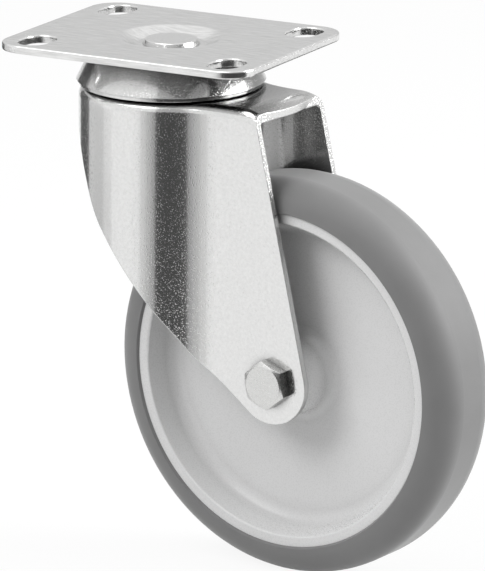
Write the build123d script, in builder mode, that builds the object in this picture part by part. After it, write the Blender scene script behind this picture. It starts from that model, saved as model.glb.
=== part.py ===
from build123d import *

import math
import os

# Swivel castor with a fixing plate, a pressed steel fork and a 150 mm wheel.
#
# Frame: millimetres, +Z up. The origin is on the swivel axis, in the upper
# (mounting) face of the plate. The plate's long side lies along X. The fork and
# the wheel stand turned about Z by swivel_rest, and trail towards +X.

# --- mounting plate -----------------------------------------------------------
plate_length = 105.0
plate_width = 85.0
plate_thickness = 3.0
plate_corner_radius = 11.0
plate_edge_radius = 0.7
hole_spacing_x = 80.0
hole_spacing_y = 60.0
slot_width = 11.8
slot_length = 17.2
slot_lead_in = 0.7
dish_rim_radius = 19.5
dish_floor_radius = 13.0
dish_depth = 2.7
dish_bend_radius = 2.0

# --- kingpin ------------------------------------------------------------------
kingpin_radius = 7.0
kingpin_neck_radius = 6.0
rivet_head_radius = 10.7
rivet_head_draft = 1.0
rivet_head_height = 1.9
rivet_head_edge = 0.5
kingpin_foot_radius = 11.0
kingpin_foot_height = 3.5
kingpin_foot_edge = 0.8
neck_gap = 0.05

# --- double ball race ---------------------------------------------------------
upper_ball_radius = 4.0
lower_ball_radius = 3.0
race_gap = 0.1
ball_spacing_gap = 0.1
ring_sheet = 2.5
ring_hole_radius = 20.2
skirt_angle = 26.5
skirt_foot_radius = 35.3
skirt_foot_depth = 15.7
lip_height = 1.5
lip_step = 0.9
dome_headroom = 1.2
dome_bore_gap = 2.0
groove_shelf = 3.0
shoulder_round = 3.0
lower_race_outer_radius = 19.3
lower_race_floor = 3.4
lower_race_lip = 0.8
race_fit_gap = 0.03

# --- fork ---------------------------------------------------------------------
swivel_rest = -6.5
fork_sheet = 2.5
fork_width = 43.0
fork_top_depth = 17.7
head_radius = 34.5
head_bend_radius = 4.0
leg_blend_radius = 40.0
axle_trail = 60.0
axle_drop = 119.0
tip_radius = 15.5
front_lean = 12.9
lip_bow = 1.5
lip_run = 7.0
lip_curve = 19.5
lip_slope = 25.0
rear_slope = 37.2
rear_knee_x = 27.0
rear_knee_slope = 52.5
rear_knee_radius = 25.0
rear_hip_x = -12.0
rear_hip_slope = 64.5
rear_hip_radius = 60.0
back_depth = 31.0
back_corner_radius = 10.0

# --- axle ---------------------------------------------------------------------
bolt_radius = 5.0
bolt_hole_gap = 0.25
bolt_flats = 16.0
bolt_head_height = 4.8
bolt_head_turn = 39.2
bolt_tail = 2.5
bolt_tail_chamfer = 1.0
hex_chamfer_angle = 30.0
hex_face_ratio = 0.92
nut_hex_height = 7.0
nut_collar_height = 3.0
nut_collar_radius = 7.2
nut_collar_wall = 1.0
insert_height = 2.2
thread_gap = 0.05
tube_bore_gap = 0.2
tube_wall = 1.9

# --- wheel --------------------------------------------------------------------
wheel_radius = 75.0
hub_running_gap = 0.06
hub_end_gap = 0.8
hub_radius = 14.5
hub_edge = 1.2
hub_draft = 0.4
hub_foot_fillet = 3.8
web_half_thickness = 3.0
recess_fillet = 5.0
recess_draft = 2.8
rim_half_width = 15.9
rim_wall = 3.8
rim_edge = 0.8
tread_thickness = 8.5
tyre_side_height = 11.6
tyre_bed_half_width = 10.0
tyre_bed_shoulder = 12.5
tyre_half_width = 17.0
tyre_shoulder_radius = 11.0

# --- sizes that follow from those above ---------------------------------------
plate_underside = -plate_thickness
dish_floor = -dish_depth
dish_underside = dish_floor - plate_thickness

upper_race_radius = upper_ball_radius + race_gap
lower_race_radius = lower_ball_radius + race_gap
ring_bend_radius = upper_race_radius + ring_sheet
dome_bend_radius = lower_race_radius + fork_sheet

# The upper balls run in the bend between the ring's flange and its skirt, so the
# skirt's foot and its slope settle the pitch radius of that row.
skirt = math.radians(skirt_angle)
upper_ball_z = plate_underside - ring_sheet - upper_race_radius
skirt_foot_drop = skirt_foot_depth + upper_ball_z
upper_pitch_radius = skirt_foot_radius - (
    (ring_bend_radius + skirt_foot_drop * math.sin(skirt)) / math.cos(skirt)
)

# The fork's sheet passes between the two rows in one S bend, round the lower row
# and then round the upper one, so the rows' centres lie two bend radii apart.
dome_top = dish_underside - dome_headroom
lower_ball_z = dome_top - dome_bend_radius
row_distance = dome_bend_radius + upper_race_radius
row_rise = upper_ball_z - lower_ball_z
row_angle = math.degrees(math.asin(row_rise / row_distance))
lower_pitch_radius = upper_pitch_radius - row_distance * math.cos(math.radians(row_angle))
groove_floor = upper_ball_z - upper_race_radius
shoulder_centre_r = upper_pitch_radius + groove_shelf

lower_race_top = lower_ball_z + lower_race_lip
lower_race_foot = lower_ball_z - lower_race_radius - lower_race_floor

fork_top = -fork_top_depth
leg_outer = fork_width / 2
leg_inner = leg_outer - fork_sheet
form_length = axle_trail + tip_radius + fork_width
form_depth = axle_drop + tip_radius

tube_bore_radius = bolt_radius + tube_bore_gap
tube_radius = tube_bore_radius + tube_wall
hub_bore_radius = tube_radius + hub_running_gap
hub_half_length = leg_inner - hub_end_gap
tyre_bed_radius = wheel_radius - tread_thickness
rim_outer_radius = wheel_radius - tyre_side_height
rim_inner_radius = rim_outer_radius - rim_wall

# --- directions and planes of the turned fork ---------------------------------
turn = math.radians(swivel_rest)
forward = Vector(math.cos(turn), math.sin(turn), 0)
leftward = Vector(-math.sin(turn), math.cos(turn), 0)
axle_centre = forward * axle_trail + Vector(0, 0, -axle_drop)
forward_axis = Axis((0, 0, 0), forward)
axle_axis = Axis(axle_centre, leftward)

fork_plan = Plane(origin=(0, 0, 0), x_dir=forward, z_dir=(0, 0, 1))
fork_side = Plane(origin=(0, 0, 0), x_dir=forward, z_dir=-leftward)
axle_side = Plane(origin=axle_centre, x_dir=forward, z_dir=-leftward)
axle_far_side = Plane(origin=axle_centre, x_dir=forward, z_dir=leftward)
wheel_section = Plane(origin=axle_centre, x_dir=leftward, z_dir=forward)


def polar(centre, radius, angle):
    """The point at this radius and angle (degrees) from centre."""
    a = math.radians(angle)
    return (centre[0] + radius * math.cos(a), centre[1] + radius * math.sin(a))


def arc(centre, radius, start, end):
    """An arc about centre from one angle to the other, both in degrees."""
    middle = (start + end) / 2
    return ThreePointArc(
        polar(centre, radius, start), polar(centre, radius, middle), polar(centre, radius, end)
    )


def save(part, name):
    part.label = name
    export_step(part, f"parts/{name}.step")


os.makedirs("parts", exist_ok=True)

upper_row = (upper_pitch_radius, upper_ball_z)
lower_row = (lower_pitch_radius, lower_ball_z)

# --- top plate: pressed plate with a dish for the rivet head and four slots ----
with BuildPart() as top_plate:
    with BuildSketch(Plane.XY):
        RectangleRounded(plate_length, plate_width, plate_corner_radius)
    extrude(amount=-plate_thickness)
    fillet(top_plate.faces().filter_by(Plane.XY).edges(), radius=plate_edge_radius)

    # The dish is drawn down by its depth: its underside stands below the plate.
    dish_reach = 2 * dish_rim_radius - dish_floor_radius
    mid_sheet = -plate_thickness / 2
    with BuildSketch(Plane.XZ):
        with BuildLine():
            FilletPolyline(
                (dish_reach, plate_underside),
                (dish_rim_radius, plate_underside),
                (dish_floor_radius, dish_underside),
                (0, dish_underside),
                radius=[dish_bend_radius, dish_bend_radius + plate_thickness],
            )
            Polyline(
                (0, dish_underside),
                (0, mid_sheet),
                (dish_reach, mid_sheet),
                (dish_reach, plate_underside),
            )
        make_face()
    revolve(axis=Axis.Z)
    with BuildSketch(Plane.XZ):
        with BuildLine():
            FilletPolyline(
                (0, dish_floor),
                (dish_floor_radius, dish_floor),
                (dish_rim_radius, 0),
                (dish_reach, 0),
                radius=[dish_bend_radius, dish_bend_radius + plate_thickness],
            )
            Polyline((dish_reach, 0), (dish_reach, dish_depth), (0, dish_depth), (0, dish_floor))
        make_face()
    revolve(axis=Axis.Z, mode=Mode.SUBTRACT)

    with BuildSketch(Plane.XY):
        with GridLocations(hole_spacing_x, hole_spacing_y, 2, 2):
            SlotOverall(slot_length, slot_width, rotation=90)
    extrude(amount=-plate_thickness, mode=Mode.SUBTRACT)
    with BuildSketch(Plane.XY):
        Circle(kingpin_neck_radius + neck_gap)
    extrude(amount=dish_underside, mode=Mode.SUBTRACT)
    slot_rims = (
        top_plate.faces()
        .filter_by(Plane.XY)
        .sort_by(Axis.Z)[-1]
        .inner_wires()
        .filter_by(lambda wire: wire.length < math.pi * dish_rim_radius)
    )
    fillet([edge for wire in slot_rims for edge in wire.edges()], radius=slot_lead_in)
save(top_plate.part, "top_plate")

# --- kingpin: riveted over in the dish, with a broad foot under the lower race --
kingpin_foot_top = lower_race_foot
kingpin_foot_bottom = kingpin_foot_top - kingpin_foot_height
with BuildPart() as kingpin:
    with BuildSketch(Plane.XZ):
        with BuildLine():
            rivet_top = dish_floor + rivet_head_height
            FilletPolyline(
                (0, rivet_top),
                (rivet_head_radius - rivet_head_draft, rivet_top),
                (rivet_head_radius, dish_floor),
                (kingpin_neck_radius, dish_floor),
                (kingpin_neck_radius, dish_underside),
                (kingpin_radius, dish_underside),
                (kingpin_radius, kingpin_foot_top),
                (kingpin_foot_radius, kingpin_foot_top),
                (kingpin_foot_radius, kingpin_foot_bottom),
                (0, kingpin_foot_bottom),
                radius=[rivet_head_edge, 0, 0, 0, 0, 0, 0, kingpin_foot_edge],
            )
            Line((0, kingpin_foot_bottom), (0, rivet_top))
        make_face()
    revolve(axis=Axis.Z)
save(kingpin.part, "kingpin")

# --- swivel ring: pressed cup, its flange welded under the plate ----------------
with BuildPart() as swivel_ring:
    with BuildSketch(Plane.XZ):
        with BuildLine():
            flange_foot = plate_underside - ring_sheet
            lip_outer = skirt_foot_radius - lip_step
            lip_inner = lip_outer - ring_sheet
            lip_foot = -skirt_foot_depth - lip_height
            skirt_start = polar(upper_row, upper_race_radius, skirt_angle)
            skirt_run = (lip_inner - skirt_start[0]) / math.tan(skirt)
            Line((ring_hole_radius, plate_underside), (upper_pitch_radius, plate_underside))
            arc(upper_row, ring_bend_radius, 90, skirt_angle)
            Polyline(
                polar(upper_row, ring_bend_radius, skirt_angle),
                (skirt_foot_radius, -skirt_foot_depth),
                (lip_outer, -skirt_foot_depth),
                (lip_outer, lip_foot),
                (lip_inner, lip_foot),
                (lip_inner, skirt_start[1] - skirt_run),
                skirt_start,
            )
            arc(upper_row, upper_race_radius, skirt_angle, 90)
            Polyline(
                (upper_pitch_radius, flange_foot),
                (ring_hole_radius, flange_foot),
                (ring_hole_radius, plate_underside),
            )
        make_face()
    revolve(axis=Axis.Z)
save(swivel_ring.part, "swivel_ring")

# --- lower race: turned ring on the kingpin, with the lower balls' track --------
with BuildPart() as lower_race:
    with BuildSketch(Plane.XZ):
        with BuildLine():
            track_start = 180 - math.degrees(math.asin(lower_race_lip / lower_race_radius))
            track_end = 285
            track_edge = polar(lower_row, lower_race_radius, track_end)
            bore = kingpin_radius + race_fit_gap
            arc(lower_row, lower_race_radius, track_start, track_end)
            Polyline(
                track_edge,
                (lower_race_outer_radius, track_edge[1]),
                (lower_race_outer_radius, lower_race_foot),
                (bore, lower_race_foot),
                (bore, lower_race_top),
                polar(lower_row, lower_race_radius, track_start),
            )
        make_face()
    revolve(axis=Axis.Z)
save(lower_race.part, "lower_race")


# --- balls: two full rows, each ball a solid of its own -------------------------
def ball_row(name, pitch_radius, height, radius):
    """Fill a row with as many balls as its pitch circle takes."""
    count = math.floor(2 * math.pi * pitch_radius / (2 * radius + ball_spacing_gap))
    for index in range(count):
        with BuildPart() as ball:
            with Locations((*polar((0, 0), pitch_radius, index * 360 / count), height)):
                Sphere(radius)
        save(ball.part, f"{name}_{index + 1:02d}")


ball_row("upper_ball", upper_pitch_radius, upper_ball_z, upper_ball_radius)
ball_row("lower_ball", lower_pitch_radius, lower_ball_z, lower_ball_radius)


# --- fork: one deep-drawn pressing ----------------------------------------------
lean = math.radians(front_lean)
tip = (axle_trail, -axle_drop)
front_foot = polar(tip, tip_radius, front_lean)
rear_foot_angle = -90 - rear_slope
rear_foot = polar(tip, tip_radius, rear_foot_angle)
front_at_top = front_foot[0] - (fork_top - front_foot[1]) * math.tan(lean)
front_above = front_foot[0] + front_foot[1] * math.tan(lean)
knee_z = rear_foot[1] + (rear_foot[0] - rear_knee_x) * math.tan(math.radians(rear_slope))
hip_z = knee_z + (rear_knee_x - rear_hip_x) * math.tan(math.radians(rear_knee_slope))
back_x = rear_hip_x - (-back_depth - hip_z) / math.tan(math.radians(rear_hip_slope))
lip_start = front_at_top - lip_run


def fork_form(inset):
    """The fork's outer form, or, inset by the sheet, the hollow inside it.

    A round head about the swivel axis runs out into a box as wide as the legs, with
    hollow blends where they meet and one bend round the top. The dome that carries
    both ball tracks stands on it.
    """
    with BuildPart() as form:
        with BuildSketch(fork_plan.offset(fork_top - inset)):
            Circle(head_radius - inset)
            Rectangle(
                form_length + inset, fork_width - 2 * inset, align=(Align.MIN, Align.CENTER)
            )
        extrude(amount=-form_depth)
        junctions = form.edges().filter_by(Axis.Z).group_by(forward_axis)[0]
        fillet(junctions, radius=leg_blend_radius + inset)

        # Towards its front edge the top curves down.
        with BuildSketch(fork_side):
            with BuildLine():
                curve_centre = (lip_start, fork_top - lip_curve)
                curve_end = polar(curve_centre, lip_curve - inset, 90 - lip_slope)
                fall = (2 * form_length - curve_end[0]) * math.tan(math.radians(lip_slope))
                arc(curve_centre, lip_curve - inset, 90, 90 - lip_slope)
                Polyline(
                    curve_end,
                    (2 * form_length, curve_end[1] - fall),
                    (2 * form_length, 0),
                    (lip_start, 0),
                    (lip_start, fork_top - inset),
                )
            make_face()
        extrude(amount=2 * head_radius, both=True, mode=Mode.SUBTRACT)
        top_face = form.faces().filter_by(Plane.XY).sort_by(Axis.Z)[-1]
        fillet(top_face.edges().sort_by(forward_axis)[:-1], radius=head_bend_radius - inset)

        with BuildSketch(Plane.XZ):
            with BuildLine():
                crown = lower_ball_z + dome_bend_radius - inset
                floor = groove_floor - inset
                shoulder = (shoulder_centre_r, groove_floor - shoulder_round)
                root = fork_top - head_bend_radius
                Line((0, crown), (lower_pitch_radius, crown))
                arc(lower_row, dome_bend_radius - inset, 90, row_angle)
                arc(upper_row, upper_race_radius + inset, 180 + row_angle, 270)
                Line((upper_pitch_radius, floor), (shoulder_centre_r, floor))
                arc(shoulder, shoulder_round - inset, 90, 0)
                Polyline(
                    polar(shoulder, shoulder_round - inset, 0),
                    (shoulder_centre_r + shoulder_round - inset, root),
                    (0, root),
                    (0, crown),
                )
            make_face()
        revolve(axis=Axis.Z)
    return form.part


fork_outside = fork_form(0)
fork_inside = fork_form(fork_sheet)

with BuildPart() as fork:
    add(fork_outside)
    add(fork_inside, mode=Mode.SUBTRACT)

    # Side outline: round tips about the axle, a leaning front edge, and a rear edge
    # that climbs round the head so that the wheel runs free under it.
    with BuildSketch(fork_side):
        with BuildLine():
            Polyline(
                (-2 * head_radius, -back_depth),
                (-2 * head_radius, 0),
                (front_above, 0),
                front_foot,
            )
            arc(tip, tip_radius, front_lean, rear_foot_angle)
            FilletPolyline(
                rear_foot,
                (rear_knee_x, knee_z),
                (rear_hip_x, hip_z),
                (back_x, -back_depth),
                (-2 * head_radius, -back_depth),
                radius=[rear_knee_radius, rear_hip_radius, back_corner_radius],
            )
        make_face()
    extrude(amount=2 * head_radius, both=True, mode=Mode.INTERSECT)

    # The top runs out between the legs in a bowed lip.
    with BuildPart(mode=Mode.PRIVATE) as lip:
        lip_half_width = leg_outer - head_bend_radius
        with BuildSketch(fork_plan.offset(fork_top)):
            with BuildLine():
                SagittaArc(
                    (front_at_top, -lip_half_width), (front_at_top, lip_half_width), -lip_bow
                )
                Polyline(
                    (front_at_top, lip_half_width),
                    (front_at_top - lip_bow, lip_half_width),
                    (front_at_top - lip_bow, -lip_half_width),
                    (front_at_top, -lip_half_width),
                )
            make_face()
        extrude(amount=-fork_sheet - lip_run)
        add(fork_outside, mode=Mode.INTERSECT)
        add(fork_inside, mode=Mode.SUBTRACT)
    add(lip.part)

    # Axle holes through both legs, and the clearance hole for the kingpin.
    with BuildSketch(axle_side):
        Circle(bolt_radius + bolt_hole_gap)
    extrude(amount=2 * fork_width, both=True, mode=Mode.SUBTRACT)
    with BuildSketch(Plane.XY):
        Circle(kingpin_radius + dome_bore_gap)
    extrude(amount=-fork_top_depth - head_bend_radius, mode=Mode.SUBTRACT)
save(fork.part, "fork")


# --- axle: hexagon bolt, locking nut and the tube that the wheel turns on -------
def hexagon(plane, height, both_ends):
    """A hexagon on plane, its corners turned off to a cone at the top or both ends."""
    corner = bolt_flats / math.sqrt(3)
    face = hex_face_ratio * bolt_flats / 2
    drop = (corner - face) * math.tan(math.radians(hex_chamfer_angle))
    foot = [(face, 0), (corner, drop)] if both_ends else [(corner, 0)]
    with BuildPart() as head:
        with BuildSketch(plane):
            RegularPolygon(bolt_flats / 2, 6, major_radius=False, rotation=bolt_head_turn)
        extrude(amount=height)
        with BuildSketch(Plane(origin=plane.origin, x_dir=plane.x_dir, z_dir=-plane.y_dir)):
            with BuildLine():
                Polyline(
                    (0, 0), *foot, (corner, height - drop), (face, height), (0, height), (0, 0)
                )
            make_face()
        revolve(axis=Axis(plane.origin, plane.z_dir), mode=Mode.INTERSECT)
    return head.part


nut_height = nut_hex_height + nut_collar_height
bolt_head = hexagon(axle_side.offset(leg_outer), bolt_head_height, False)
nut_hexagon = hexagon(axle_far_side.offset(leg_outer), nut_hex_height, True)

with BuildPart() as axle_bolt:
    add(bolt_head)
    with BuildSketch(axle_far_side.offset(-leg_outer)):
        Circle(bolt_radius)
    extrude(amount=fork_width + nut_height + bolt_tail)
    bolt_end = axle_bolt.edges().filter_by(GeomType.CIRCLE).sort_by(axle_axis)[-1]
    chamfer(bolt_end, length=bolt_tail_chamfer)
save(axle_bolt.part, "axle_bolt")

with BuildPart() as axle_nut:
    add(nut_hexagon)
    with BuildSketch(axle_far_side.offset(leg_outer + nut_hex_height)):
        Circle(nut_collar_radius)
    extrude(amount=nut_collar_height)
    with BuildSketch(axle_far_side.offset(leg_outer)):
        Circle(bolt_radius + thread_gap)
    extrude(amount=nut_height, mode=Mode.SUBTRACT)
    with BuildSketch(axle_far_side.offset(leg_outer + nut_height - insert_height)):
        Circle(nut_collar_radius - nut_collar_wall)
    extrude(amount=insert_height, mode=Mode.SUBTRACT)
save(axle_nut.part, "axle_nut")

with BuildPart() as nut_insert:
    with BuildSketch(axle_far_side.offset(leg_outer + nut_height - insert_height)):
        Circle(nut_collar_radius - nut_collar_wall)
        Circle(bolt_radius + thread_gap, mode=Mode.SUBTRACT)
    extrude(amount=insert_height)
save(nut_insert.part, "nut_insert")

with BuildPart() as axle_tube:
    with BuildSketch(axle_side):
        Circle(tube_radius)
        Circle(tube_bore_radius, mode=Mode.SUBTRACT)
    extrude(amount=leg_inner, both=True)
save(axle_tube.part, "axle_tube")

# --- wheel centre: moulded hub, web and rim in one ------------------------------
with BuildPart() as wheel_centre:
    with BuildSketch(wheel_section):
        with BuildLine():
            FilletPolyline(
                (0, hub_bore_radius),
                (hub_half_length, hub_bore_radius),
                (hub_half_length, hub_radius),
                (web_half_thickness, hub_radius + hub_draft),
                (web_half_thickness, rim_inner_radius - recess_draft),
                (rim_half_width, rim_inner_radius),
                (rim_half_width, rim_outer_radius),
                (tyre_bed_shoulder, rim_outer_radius),
                (tyre_bed_half_width, tyre_bed_radius),
                (0, tyre_bed_radius),
                radius=[0, hub_edge, hub_foot_fillet, recess_fillet, rim_edge, 0, 0, 0],
            )
            Line((0, tyre_bed_radius), (0, hub_bore_radius))
        make_face()
        mirror(about=Plane.YZ)
    revolve(axis=axle_axis)
save(wheel_centre.part, "wheel_centre")

# --- tyre: moulded on the rim, with a round shoulder ----------------------------
shoulder_r = wheel_radius - tyre_shoulder_radius
shoulder_a = tyre_half_width - tyre_shoulder_radius
with BuildPart() as tyre:
    with BuildSketch(wheel_section):
        with BuildLine():
            Polyline(
                (0, tyre_bed_radius),
                (tyre_bed_half_width, tyre_bed_radius),
                (tyre_bed_shoulder, rim_outer_radius),
                (rim_half_width, rim_outer_radius),
                (tyre_half_width, shoulder_r),
            )
            arc((shoulder_a, shoulder_r), tyre_shoulder_radius, 0, 90)
            Polyline((shoulder_a, wheel_radius), (0, wheel_radius), (0, tyre_bed_radius))
        make_face()
        mirror(about=Plane.YZ)
    revolve(axis=axle_axis)
save(tyre.part, "tyre")
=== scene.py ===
# %% [markdown]
# # A swivel castor, from solid to picture
# A swivel castor has few pieces, and nearly all of them are bright zinc-plated steel.
# Such metal has hardly any colour of its own. It shows the room, bent by its own shape,
# so this lesson spends as much care on the room as on the steel.
# The solids come ready made, in metres, with the mounting face at height zero.

import math

import bpy
from mathutils import Matrix, Vector


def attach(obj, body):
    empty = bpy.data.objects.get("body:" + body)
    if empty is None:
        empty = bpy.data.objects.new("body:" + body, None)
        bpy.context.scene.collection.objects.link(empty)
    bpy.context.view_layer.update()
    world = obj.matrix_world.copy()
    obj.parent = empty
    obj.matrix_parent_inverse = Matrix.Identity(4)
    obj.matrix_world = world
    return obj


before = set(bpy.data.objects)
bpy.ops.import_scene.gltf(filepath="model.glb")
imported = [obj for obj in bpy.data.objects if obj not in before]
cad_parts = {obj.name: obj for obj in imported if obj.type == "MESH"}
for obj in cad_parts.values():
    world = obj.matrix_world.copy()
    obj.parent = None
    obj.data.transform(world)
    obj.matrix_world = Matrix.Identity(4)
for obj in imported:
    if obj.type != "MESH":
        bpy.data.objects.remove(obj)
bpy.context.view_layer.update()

# %% [markdown]
# ## Where the fork stands
# The fork rests turned a little about the swivel axis. The axle's place follows from
# that turn, the trail and the drop, and many later steps need these directions: the way
# the fork points, and the way its axle runs.

# %% The fork's directions
MM = 0.001
swivel_rest = math.radians(-6.5)
trail = 60.0 * MM
drop = 119.0 * MM
wheel_radius = 75.0 * MM

up = Vector((0.0, 0.0, 1.0))
forward = Vector((math.cos(swivel_rest), math.sin(swivel_rest), 0.0))
along_axle = Vector((-math.sin(swivel_rest), math.cos(swivel_rest), 0.0))
axle_centre = forward * trail - up * drop
floor_height = axle_centre.z - wheel_radius
print("axle at", tuple(round(c, 4) for c in axle_centre), "floor at", round(floor_height, 4))

# %% [markdown]
# ## The camera
# Product pictures of castors are taken from far away with a long lens, so that the
# plate's edges stay nearly parallel. The camera here stands a good two metres off, about
# half a metre above the plate, and looks slightly down.

# %% Set up the camera
camera_place = Vector((1032.626, -1836.441, 475.0)) * MM
camera_heading = math.radians(28.6252)
camera_dip = math.radians(15.1599)
camera_roll = math.radians(0.1091)
focal_length = 366.826

camera_data = bpy.data.cameras.new("long_lens")
camera_data.lens = focal_length
camera_data.sensor_fit = "AUTO"
camera = bpy.data.objects.new("camera", camera_data)
bpy.context.scene.collection.objects.link(camera)

level = Vector((math.cos(camera_heading), math.sin(camera_heading), 0.0))
backward = Vector((
    math.sin(camera_heading) * math.cos(camera_dip),
    -math.cos(camera_heading) * math.cos(camera_dip),
    math.sin(camera_dip),
))
upward = backward.cross(level)
camera_x = level * math.cos(camera_roll) + upward * math.sin(camera_roll)
camera_y = upward * math.cos(camera_roll) - level * math.sin(camera_roll)
camera.matrix_world = Matrix((
    (camera_x.x, camera_y.x, backward.x, camera_place.x),
    (camera_x.y, camera_y.y, backward.y, camera_place.y),
    (camera_x.z, camera_y.z, backward.z, camera_place.z),
    (0.0, 0.0, 0.0, 1.0),
))
bpy.context.scene.camera = camera
print("camera", round((camera_place - axle_centre).length, 3), "m from the axle")

# %% [markdown]
# ## A short way to write materials
# Each finish below is a small web of nodes. The first three helpers start a material,
# add a node and join two sockets. The others are the small webs that come back in one
# finish after another: grain, a change of range, two values made into one, a tint,
# relief and a rolled edge. Positions are read from the Object coordinates, which are
# metres here, so a grain size can be given in millimetres.

# %% Helpers for node webs
edge_samples = 4


def finish(name):
    """Start a material and return it with its node tree and its surface shader."""
    made = bpy.data.materials.new(name)
    made.use_nodes = True
    return made, made.node_tree, made.node_tree.nodes["Principled BSDF"]


def add_node(tree, kind, **sockets):
    """Add a node; a value goes to the input socket of that name, spaces as underscores."""
    node = tree.nodes.new(kind)
    for socket, value in sockets.items():
        node.inputs[socket.replace("_", " ")].default_value = value
    return node


def join(tree, source, target):
    """Link an output socket to an input socket."""
    tree.links.new(source, target)


def grain(tree, size, detail=3.0, roughness=0.5, stretch=(1.0, 1.0, 1.0)):
    """Noise with cells of this size in metres; a stretch under 1 draws them out."""
    place = tree.nodes.new("ShaderNodeTexCoord")
    scale = add_node(tree, "ShaderNodeMapping", Scale=stretch)
    noise = add_node(
        tree, "ShaderNodeTexNoise", Scale=1.0 / size, Detail=detail, Roughness=roughness
    )
    join(tree, place.outputs["Object"], scale.inputs["Vector"])
    join(tree, scale.outputs["Vector"], noise.inputs["Vector"])
    return noise.outputs["Fac"]


def spread(tree, source, low, high, start=0.0, end=1.0):
    """Turn a value that runs from start to end into one that runs from low to high."""
    ranged = add_node(
        tree, "ShaderNodeMapRange", From_Min=start, From_Max=end, To_Min=low, To_Max=high
    )
    join(tree, source, ranged.inputs["Value"])
    return ranged.outputs["Result"]


def combine(tree, operation, first, second):
    """The result of one Math operation on two values."""
    made = tree.nodes.new("ShaderNodeMath")
    made.operation = operation
    join(tree, first, made.inputs[0])
    join(tree, second, made.inputs[1])
    return made.outputs["Value"]


def tint(tree, source, dark, light):
    """A colour that runs from dark to light, both RGB, as the source runs from 0 to 1."""
    ramp = tree.nodes.new("ShaderNodeValToRGB")
    for stop, colour in zip(ramp.color_ramp.elements, (dark, light)):
        stop.color = (*colour, 1.0)
    join(tree, source, ramp.inputs["Fac"])
    return ramp.outputs["Color"]


def relief(tree, source, height, over=None):
    """Bump whose full range is this many metres high, laid over another normal."""
    bump = add_node(tree, "ShaderNodeBump", Strength=1.0, Distance=height)
    join(tree, source, bump.inputs["Height"])
    if over:
        join(tree, over, bump.inputs["Normal"])
    return bump.outputs["Normal"]


def rolled_edge(tree, radius):
    """Normals that turn round every sharp edge as if it were rounded to this radius."""
    edge = add_node(tree, "ShaderNodeBevel", Radius=radius)
    edge.samples = edge_samples
    return edge.outputs["Normal"]


print("helpers ready")

# %% [markdown]
# ## Bright zinc
# Zinc plate is a thin silvery coat. On pressed sheet it follows the steel's own skin,
# which is finely pitted. The pits hardly show where it mirrors a white wall, and they
# sparkle wherever it mirrors something dark: there a pit throws back light from
# somewhere else. So the recipe is a clean metal of low roughness with a fine grain in
# its relief and in its gloss. The plate's sheet also has streaks along its length, left
# by the rollers. Sheared and punched edges are never quite sharp, and their small
# rounding draws the bright line round every plate and leg. The Bevel node gives that
# line without a change to the solid. Faces inside gaps and under overhangs are darkened
# in the colour, where the Ambient Occlusion node finds them: this is painted shade.

# %% Zinc on pressed sheet, on turned pieces and on fasteners
gap_samples = 8
closed_sky, open_sky = 0.15, 0.8
black = (0.0, 0.0, 0.0)


def openness(tree, reach, deepest):
    """Painted shade for a colour: 1 on open faces, falling to the value deepest inside gaps
    narrower than reach.
    """
    gap = add_node(tree, "ShaderNodeAmbientOcclusion", Distance=reach)
    gap.samples = gap_samples
    return spread(tree, gap.outputs["AO"], deepest, 1.0, start=closed_sky, end=open_sky)


def zinc_plate(name, bright, gloss, pit_depth, edge_radius,
               lay=(1.0, 1.0, 1.0), wear=0.06, deepest=0.25):
    """Plated steel; lay draws its streaks out, and deepest is its painted shade in close
    gaps.
    """
    made, tree, surface = finish(name)

    skin_size, pit_size, streak_size = 0.7 * MM, 0.55 * MM, 1.1 * MM
    pit_start, pit_end = 0.58, 0.80
    skin = grain(tree, skin_size, roughness=0.6)
    spots = grain(tree, pit_size, detail=1.0)
    pits = spread(tree, spots, 0.0, 1.0, start=pit_start, end=pit_end)
    streaks = grain(tree, streak_size, stretch=lay)

    # Painted shade: the colour darkens in close gaps and, more gently, in wide ones.
    close_gap, wide_gap, wide_deepest = 18.0 * MM, 60.0 * MM, 0.50
    painted_gap_shade = combine(tree, "MULTIPLY", openness(tree, close_gap, deepest),
                    openness(tree, wide_gap, wide_deepest))
    streak_start, streak_end = 0.3, 0.7
    shine = spread(tree, streaks, 1.0 - wear, 1.0, start=streak_start, end=streak_end)
    shade = combine(tree, "MULTIPLY", shine, painted_gap_shade)
    surface.inputs["Metallic"].default_value = 1.0
    join(tree, tint(tree, shade, black, bright), surface.inputs["Base Color"])

    smoothest, dullest, skin_share = 0.6, 1.5, 0.12
    dullness = spread(tree, skin, gloss * smoothest, gloss * dullest)
    join(tree, dullness, surface.inputs["Roughness"])
    rough = relief(tree, skin, pit_depth * skin_share, rolled_edge(tree, edge_radius))
    join(tree, relief(tree, pits, pit_depth, rough), surface.inputs["Normal"])
    return made


zinc_rolled = zinc_plate(
    "zinc_rolled", bright=(0.81, 0.81, 0.805), gloss=0.17, pit_depth=0.030 * MM,
    edge_radius=0.45 * MM, lay=(0.12, 1.0, 1.0), wear=0.18,
)
zinc_sheet = zinc_plate(
    "zinc_sheet", bright=(0.77, 0.77, 0.765), gloss=0.12, pit_depth=0.038 * MM,
    edge_radius=0.45 * MM,
)
zinc_turned = zinc_plate(
    "zinc_turned", bright=(0.77, 0.77, 0.765), gloss=0.13, pit_depth=0.045 * MM,
    edge_radius=0.25 * MM,
)
zinc_hardware = zinc_plate(
    "zinc_hardware", bright=(0.70, 0.70, 0.69), gloss=0.28, pit_depth=0.030 * MM,
    edge_radius=0.30 * MM, deepest=0.75,
)
print("zinc finishes made")

# %% [markdown]
# ## Balls, tube and nylon
# These pieces hide inside the head and the hub. A reader may still open the castor, so
# each has its own finish: hardened balls are ground and nearly mirror bright, the tube
# is drawn and dull, and the nut's insert is milky nylon. One recipe does for all three,
# since each is a single colour and gloss that drift a little.

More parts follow.
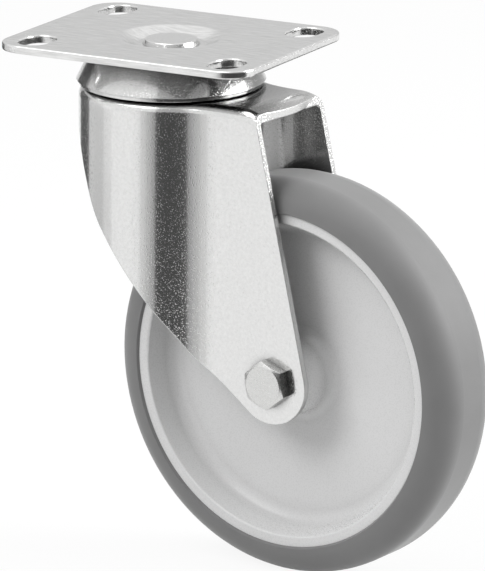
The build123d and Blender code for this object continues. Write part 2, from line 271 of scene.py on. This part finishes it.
# %% Inner pieces
def drifting(name, tone_size, dark, light, skin_size, smooth, dull):
    """A finish whose colour and roughness drift, each in spots of its own size."""
    made, tree, surface = finish(name)
    tone = tint(tree, grain(tree, tone_size), dark, light)
    join(tree, tone, surface.inputs["Base Color"])
    skin = spread(tree, grain(tree, skin_size), smooth, dull)
    join(tree, skin, surface.inputs["Roughness"])
    return made, surface


ball_steel, surface = drifting(
    "ball_steel", tone_size=1.5 * MM, dark=(0.55, 0.55, 0.56), light=(0.66, 0.66, 0.67),
    skin_size=0.8 * MM, smooth=0.05, dull=0.14,
)
surface.inputs["Metallic"].default_value = 1.0

drawn_tube, surface = drifting(
    "drawn_tube", tone_size=3.0 * MM, dark=(0.45, 0.45, 0.44), light=(0.55, 0.55, 0.54),
    skin_size=2.0 * MM, smooth=0.30, dull=0.45,
)
surface.inputs["Metallic"].default_value = 1.0

insert_nylon, surface = drifting(
    "insert_nylon", tone_size=2.0 * MM, dark=(0.70, 0.70, 0.66), light=(0.78, 0.78, 0.74),
    skin_size=1.0 * MM, smooth=0.40, dull=0.55,
)
surface.inputs["Subsurface Weight"].default_value = 0.2
surface.inputs["Subsurface Scale"].default_value = 1.0 * MM
print("inner finishes made")

# %% [markdown]
# ## The wheel centre
# The centre is moulded in one from a light grey plastic. The mould leaves a fine, even
# skin with a soft sheen, and the colour drifts very slightly where the melt met. The
# colour is also painted darker in the corners of the recess and other narrow places, as
# shade. A picture of plastic could be wrapped round it, but grain worked out from the
# position needs no unwrapping and is as fine on the rim as on the hub.

# %% Grey moulded plastic
plastic_grey = (0.63, 0.63, 0.63)
flow_size, skin_size = 30.0 * MM, 0.5 * MM
corner_reach, corner_shade = 14.0 * MM, 0.35
mould_relief, mould_edge = 0.004 * MM, 0.3 * MM

centre_plastic, tree, surface = finish("centre_plastic")
flow = spread(tree, grain(tree, flow_size, detail=2.0), low=0.94, high=1.0)
# Random flow tone, times painted shade in the recess's corners and other narrow places.
tone_and_painted_shade = combine(tree, "MULTIPLY", flow, openness(tree, corner_reach, corner_shade))
join(tree, tint(tree, tone_and_painted_shade, black, plastic_grey), surface.inputs["Base Color"])
skin = grain(tree, skin_size, detail=2.0)
join(tree, spread(tree, skin, low=0.22, high=0.34), surface.inputs["Roughness"])
mould_skin = relief(tree, skin, mould_relief, rolled_edge(tree, mould_edge))
join(tree, mould_skin, surface.inputs["Normal"])
print("plastic made")

# %% [markdown]
# ## The tyre
# The tyre is a grey, non-marking rubber. It has no gloss on its side, and a faint bloom
# makes it look lighter where the eye meets it at a shallow angle. The shader's sheen
# does just that, while a paler colour would lighten the whole tyre.

# %% Grey rubber
dark_rubber, light_rubber = (0.150, 0.150, 0.150), (0.178, 0.178, 0.178)
bloom_size, skin_size, rubber_relief = 14.0 * MM, 0.35 * MM, 0.010 * MM

tyre_rubber, tree, surface = finish("tyre_rubber")
bloom = grain(tree, bloom_size, detail=4.0)
join(tree, tint(tree, bloom, dark_rubber, light_rubber), surface.inputs["Base Color"])
surface.inputs["Specular IOR Level"].default_value = 0.4
surface.inputs["Sheen Weight"].default_value = 0.35
surface.inputs["Sheen Roughness"].default_value = 0.45
skin = grain(tree, skin_size)
join(tree, spread(tree, skin, low=0.50, high=0.66), surface.inputs["Roughness"])
join(tree, relief(tree, skin, rubber_relief), surface.inputs["Normal"])
print("rubber made")

# %% [markdown]
# ## Dress the solids
# Each solid keeps its shape and gets its finish in place of the plain one it came with.
# Every piece of this castor is of one material, so a list of names is enough, and no
# face has to be picked by hand.

# %% Give every solid its finish
finishes = {
    "top_plate": zinc_rolled,
    "swivel_ring": zinc_sheet,
    "fork": zinc_sheet,
    "kingpin": zinc_turned,
    "lower_race": zinc_turned,
    "axle_bolt": zinc_hardware,
    "axle_nut": zinc_hardware,
    "nut_insert": insert_nylon,
    "axle_tube": drawn_tube,
    "wheel_centre": centre_plastic,
    "tyre": tyre_rubber,
}
for name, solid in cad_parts.items():
    chosen = ball_steel if "_ball_" in name else finishes[name]
    for socket in solid.material_slots:
        socket.material = chosen
print("dressed", len(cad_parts), "solids")

# %% [markdown]
# ## The thread on the bolt's tail
# The bolt's tail stands a little out of the locking nut, and one turn of its thread
# shows there. A thread is a ridge with a pointed section that runs along a helix: each
# step turns the section a little and moves it along the axle. The ridge fades out at
# both ends, as the last turn does where the end of a bolt is chamfered. A bump on the
# bolt would be simpler, but a bump has no outline, and this end is seen from the side.

# %% Wind the ridge
def thread_ridge(name, start, turns, pitch, radius, height, steps=72, fade_steps=10):
    """A closed triangular ridge along a helix about the axle, from start along it."""
    foot_share = 0.3
    section = ((-foot_share, 0.0), (0.0, 1.0), (foot_share, 0.0))
    points, faces = [], []
    for step in range(steps + 1):
        angle = 2.0 * math.pi * turns * step / steps
        outward = forward * math.cos(angle) + up * math.sin(angle)
        centre = axle_centre + along_axle * (start + pitch * turns * step / steps)
        rise = height * min(1.0, step / fade_steps, (steps - step) / fade_steps)
        for side, share in section:
            reach = radius + share * rise
            points.append(centre + along_axle * side * pitch + outward * reach)
    corners = len(section)
    for step in range(steps):
        here, there = corners * step, corners * (step + 1)
        for corner in range(corners):
            following = (corner + 1) % corners
            faces.append((here + corner, here + following, there + following, there + corner))
    last = corners * steps
    faces += [(2, 1, 0), (last, last + 1, last + 2)]
    mesh = bpy.data.meshes.new(name)
    mesh.from_pydata([point[:] for point in points], [], faces)
    mesh.materials.append(zinc_hardware)
    ridge = bpy.data.objects.new(name, mesh)
    bpy.context.scene.collection.objects.link(ridge)
    return ridge


nut_end = 31.5 * MM
first_turn = nut_end + 0.45 * MM
bolt_thread = thread_ridge(
    "bolt_thread", first_turn, turns=0.85, pitch=1.5 * MM, radius=4.97 * MM, height=0.35 * MM
)
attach(bolt_thread, "fork")
print("thread of", len(bolt_thread.data.polygons), "faces")

# %% [markdown]
# ## The room
# Castors are shown on pure white. The floor here is an ordinary pale one under the
# lamps, but what looks straight at it, or mirrors it, sees it lifted to white, and only
# a light shadow is left of the castor's own. The Light Path node tells the floor which
# kind of ray has met it. The lamps aren't turned up for this, so the castor keeps the
# brightness of its own colours.

# %% Floor
def plain_sheet(name, rows, colour):
    """A card of quads between two rows of points, with its node tree and its shader."""
    made, tree, surface = finish(name)
    surface.inputs["Base Color"].default_value = (*colour, 1.0)
    surface.inputs["Roughness"].default_value = 0.9
    surface.inputs["Specular IOR Level"].default_value = 0.0
    mesh = bpy.data.meshes.new(name)
    low_row, high_row = rows
    count = len(low_row)
    faces = [(i, i + 1, count + i + 1, count + i) for i in range(count - 1)]
    mesh.from_pydata([point[:] for point in low_row + high_row], [], faces)
    mesh.materials.append(made)
    sheet = bpy.data.objects.new(name, mesh)
    bpy.context.scene.collection.objects.link(sheet)
    return sheet, tree, surface


def looked_at(tree):
    """1 for rays that come from the camera, a mirror or glass, 0 for all others."""
    path = tree.nodes.new("ShaderNodeLightPath")
    seen = path.outputs["Is Camera Ray"]
    for kind in ("Is Glossy Ray", "Is Transmission Ray"):
        seen = combine(tree, "MAXIMUM", seen, path.outputs[kind])
    return seen


half_floor = 6.0
floor_ends = (-half_floor, half_floor)
floor_rows = [[Vector((x, y, floor_height)) for x in floor_ends] for y in floor_ends]
floor_grey = (0.60, 0.60, 0.60)
white_share, white_strength = 0.85, 1.05

floor, tree, surface = plain_sheet("floor", floor_rows, floor_grey)
white = add_node(tree, "ShaderNodeEmission", Strength=white_strength)
lifted = tree.nodes.new("ShaderNodeMixShader")
join(tree, spread(tree, looked_at(tree), 0.0, white_share), lifted.inputs["Fac"])
join(tree, surface.outputs["BSDF"], lifted.inputs[1])
join(tree, white.outputs["Emission"], lifted.inputs[2])
join(tree, lifted.outputs["Shader"], tree.nodes["Material Output"].inputs["Surface"])
print(floor.name, "at", round(floor_height, 4))

# %% [markdown]
# ## The light of the room
# The plate lies flat, so it mirrors the low wall behind it. That wall is a little greyer
# than the ceiling, which is what makes the plate a shade darker than the legs. Two
# values find it in the world's own direction: its Z is 0 at the horizon and 1 straight
# up, and its product with the way the camera looks is largest on the far side. The Light
# Path node helps here too: what lights plastic and rubber is dimmer than what steel
# mirrors, so that pale plastic doesn't wash out.

# %% World
ceiling_light, wall_light, dim_light = 1.0, 0.71, 0.47
wall_low, wall_high = 0.30, 0.55
far_start, far_end = 0.2, 0.6
camera_way = (-math.sin(camera_heading), math.cos(camera_heading), 0.0)

world = bpy.data.worlds.new("bright_room")
bpy.context.scene.world = world
world.use_nodes = True
sky_tree = world.node_tree
sky = sky_tree.nodes["Background"]
sky.inputs["Color"].default_value = (1.0, 1.0, 1.0, 1.0)

direction = sky_tree.nodes.new("ShaderNodeTexCoord").outputs["Generated"]
axes = sky_tree.nodes.new("ShaderNodeSeparateXYZ")
join(sky_tree, direction, axes.inputs["Vector"])
low_share = spread(sky_tree, axes.outputs["Z"], 1.0, 0.0, start=wall_low, end=wall_high)
across = sky_tree.nodes.new("ShaderNodeVectorMath")
across.operation = "DOT_PRODUCT"
across.inputs[1].default_value = camera_way
join(sky_tree, direction, across.inputs[0])
far_share = spread(sky_tree, across.outputs["Value"], 0.0, 1.0, start=far_start, end=far_end)
wall_share = combine(sky_tree, "MULTIPLY", low_share, far_share)

strength = sky_tree.nodes.new("ShaderNodeMix")
join(sky_tree, looked_at(sky_tree), strength.inputs["Factor"])
strength.inputs["A"].default_value = dim_light
join(sky_tree, spread(sky_tree, wall_share, ceiling_light, wall_light), strength.inputs["B"])
join(sky_tree, strength.outputs["Result"], sky.inputs["Strength"])
print("room set")

# %% [markdown]
# ## Dark screens
# Bright steel needs something dark to mirror as well, or it looks like paper, so
# photographers hang dark cloth beside the camera. The screens here bend round the
# castor and are seen by nothing but reflections. The front one gives the drum its dark
# stripe and the ring its dark middle. A greyer one stands on it, lighter because the
# plate mirrors that height when it's seen from behind. Paler panels beside it, each
# lighter than the one before, soften the stripe's sides, and two more shade the drum
# towards its back. The back screen draws the line down the fork's back, and the low one
# on the right darkens the foot of the plate's short edge and the ring's right end.

# %% Screens for the steel to mirror
def dark_screen(name, start, end, distance, low, high, grey=0.09, steps=12):
    """A screen bent round the swivel axis, between two headings in degrees."""
    rim = []
    for step in range(steps + 1):
        heading = math.radians(start + (end - start) * step / steps)
        rim.append(Vector((math.sin(heading), -math.cos(heading), 0.0)) * distance)
    rows = [[point + Vector((0.0, 0.0, z)) for point in rim] for z in (low, high)]
    screen = plain_sheet(name, rows, (grey, grey, grey))[0]
    screen.visible_camera = False
    screen.visible_diffuse = False
    screen.visible_shadow = False
    screen.visible_transmission = False


front_start, front_end = 11.0, 92.0
back_start, back_end = -118.0, -88.0
right_start, right_end = 138.0, 166.0
near, far = 0.26, 0.30
front_top, upper_top, back_top, right_top = 0.02, 0.22, 0.05, -0.085
upper_grey = 0.55
paler_panels = (
    (6.0, front_start, 0.44),
    (0.0, 6.0, 0.55),
    (-7.0, 0.0, 0.68),
    (-15.0, -7.0, 0.86),
    (-58.0, -45.0, 0.80),
    (back_end, -58.0, 0.62),
)

dark_screen("front_screen", front_start, front_end, near, floor_height, front_top)
dark_screen("upper_screen", front_start, front_end, near, front_top, upper_top, upper_grey)
for start, end, grey in paler_panels:
    dark_screen("faded_edge", start, end, near, floor_height, front_top, grey)
dark_screen("back_screen", back_start, back_end, far, floor_height, back_top)
dark_screen("right_screen", right_start, right_end, far, floor_height, right_top)
print("screens hung")

# %% [markdown]
# ## Light the castor
# Three soft lamps light it. The one above is a wide, even fill. The one in front, on the
# left, shades the plastic and the rubber, but mirrors don't see it, because the polished
# leg would show it as a white square. The one behind, on the right, is the strongest and
# lights the tread. The Standard view then shows every colour as it was set.

# %% Lamps
castor_middle = Vector((0.03, 0.0, -0.10))


def soft_lamp(name, place, size, power):
    """A square lamp that looks at the castor's middle."""
    data = bpy.data.lights.new(name, "AREA")
    data.shape = "SQUARE"
    data.size = size
    data.energy = power
    lamp = bpy.data.objects.new(name, data)
    lamp.location = place
    lamp.rotation_euler = (castor_middle - place).to_track_quat("-Z", "Y").to_euler()
    bpy.context.scene.collection.objects.link(lamp)
    return lamp


soft_lamp("over_lamp", Vector((-0.3, -0.6, 1.4)), size=1.2, power=10.0)
key_lamp = soft_lamp("key_lamp", Vector((-0.55, -1.20, 0.95)), size=0.7, power=12.5)
key_lamp.visible_glossy = False
soft_lamp("right_lamp", Vector((1.22, 0.63, 0.62)), size=1.0, power=27.0)
bpy.context.scene.view_settings.view_transform = "Standard"
print("lamps:", len(bpy.data.lights))
